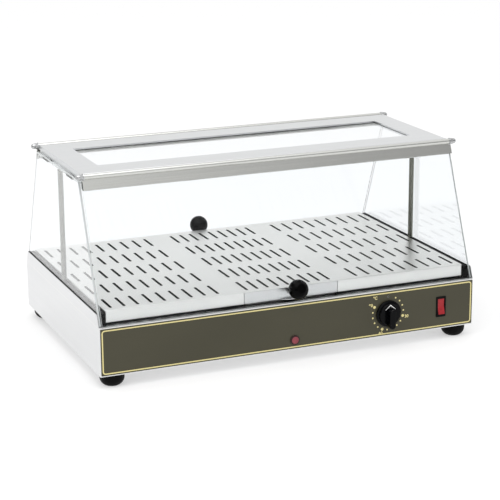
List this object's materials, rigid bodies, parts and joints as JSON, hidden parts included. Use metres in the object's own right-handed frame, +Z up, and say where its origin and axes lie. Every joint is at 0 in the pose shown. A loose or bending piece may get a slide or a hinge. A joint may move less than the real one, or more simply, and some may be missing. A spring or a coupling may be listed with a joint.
{
  "type": "heated display case",
  "caption": "Countertop heated display case: low stainless base with slotted warming plate and water drawer, trapezoid side glasses, windowed roof, glass flap doors front and rear.",
  "frame": {"origin": "centre of the footprint on the counter, under the four rubber feet", "axes": "+X along the length to the right as seen from the control side, +Y to the rear, +Z up; the control panel faces -Y"},
  "size_m": [0.792, 0.5628, 0.3862],
  "materials": {
    "base_steel": "fine satin grain",
    "slotted_steel": "satin, slots punched",
    "drawer_steel": "satin grain",
    "roof_steel": "satin grain",
    "rail_steel": "long brushed grain",
    "post_steel": "polished bar",
    "support_steel": "mill finish",
    "fascia_bronze": "satin film",
    "foot_rubber": "moulded black",
    "seal_rubber": "black",
    "clear_silicone": "translucent",
    "side_glass": "clear, ground edges",
    "pane_glass": "clear",
    "roof_glass": "clear",
    "knob_black": "gloss black ball",
    "dial_black": "moulded black",
    "switch_black": "moulded black",
    "rocker_red": "translucent red",
    "lamp_bezel": "dark moulded",
    "lamp_red": "translucent red",
    "nut_chrome": "bright",
    "rod_steel": "drawn bar",
    "screw_steel": "plated",
    "washer_fibre": "nylon",
    "heater_steel": "heat-tinted tube",
    "shield_aluminium": "aluminised sheet",
    "mineral_wool": "fibre mat",
    "sensor_copper": "drawn capillary",
    "terminal_plastic": "moulded",
    "wire_insulation": "silicone sleeve",
    "stud_brass": "plain",
    "gold_print": "screen-printed ink",
    "white_print": "screen-printed ink",
    "grey_print": "screen-printed ink"
  },
  "bodies": {
    "base": {"base_housing": "base_steel", "bottom_plate": "base_steel", "bottom_screws": "screw_steel", "cable_gland": "switch_black", "control_panel": "fascia_bronze", "deck_plate": "base_steel", "drawer_front": "drawer_steel", "drawer_runner_left": "support_steel", "drawer_runner_right": "support_steel", "earth_stud": "stud_brass", "element_clips": "heater_steel", "foot_screws": "screw_steel", "gland_nut": "switch_black", "glass_channel_left": "base_steel", "glass_channel_right": "base_steel", "glass_pads": "clear_silicone", "heat_shield": "shield_aluminium", "heating_element_left": "heater_steel", "heating_element_right": "heater_steel", "hinge_cap_nuts": "nut_chrome", "hinge_rod_front": "rod_steel", "hinge_rod_rear": "rod_steel", "hinge_washers": "nut_chrome", "insulation_mat": "mineral_wool", "pilot_lamp_body": "lamp_bezel", "pilot_lamp_lens": "lamp_red", "plate_support_left": "support_steel", "plate_support_right": "support_steel", "post_left": "post_steel", "post_nuts": "screw_steel", "post_right": "post_steel", "rating_plate": "shield_aluminium", "roof_gasket": "seal_rubber", "roof_glass": "roof_glass", "roof_glass_clips": "support_steel", "roof_panel": "roof_steel", "rubber_feet": "foot_rubber", "side_glass_left": "side_glass", "side_glass_right": "side_glass", "side_glass_seals": "seal_rubber", "slotted_plate": "slotted_steel", "switch_housing": "switch_black", "terminal_block": "terminal_plastic", "thermostat_body": "switch_black", "thermostat_bulb": "sensor_copper", "water_drawer": "drawer_steel", "wire_loom": "wire_insulation"},
    "front_door": {"front_door_knob": "knob_black", "front_door_pane": "pane_glass", "front_door_rail": "rail_steel", "front_knob_screw": "screw_steel", "front_knob_washer": "washer_fibre"},
    "rear_door": {"rear_door_knob": "knob_black", "rear_door_pane": "pane_glass", "rear_door_rail": "rail_steel", "rear_knob_screw": "screw_steel", "rear_knob_washer": "washer_fibre"},
    "thermostat_dial": {"thermostat_knob": "dial_black", "thermostat_shaft": "rod_steel"},
    "switch_rocker": {"switch_rocker": "rocker_red"}
  },
  "joints": [
    {"name": "front_door_hinge", "type": "hinge", "parent": "base", "child": "front_door", "pos_m": [0, -0.149, 0.3795], "axis": [-1, 0, 0], "range_deg": [0, 165]},
    {"name": "rear_door_hinge", "type": "hinge", "parent": "base", "child": "rear_door", "pos_m": [0, 0.149, 0.3795], "axis": [1, 0, 0], "range_deg": [0, 165]},
    {"name": "thermostat_turn", "type": "hinge", "parent": "base", "child": "thermostat_dial", "pos_m": [0.2, -0.25, 0.071], "axis": [0, 1, 0], "range_deg": [0, 298]},
    {"name": "rocker_tilt", "type": "hinge", "parent": "base", "child": "switch_rocker", "pos_m": [0.3173, -0.2416, 0.0695], "axis": [1, 0, 0], "range_deg": [0, 14]}
  ]
}
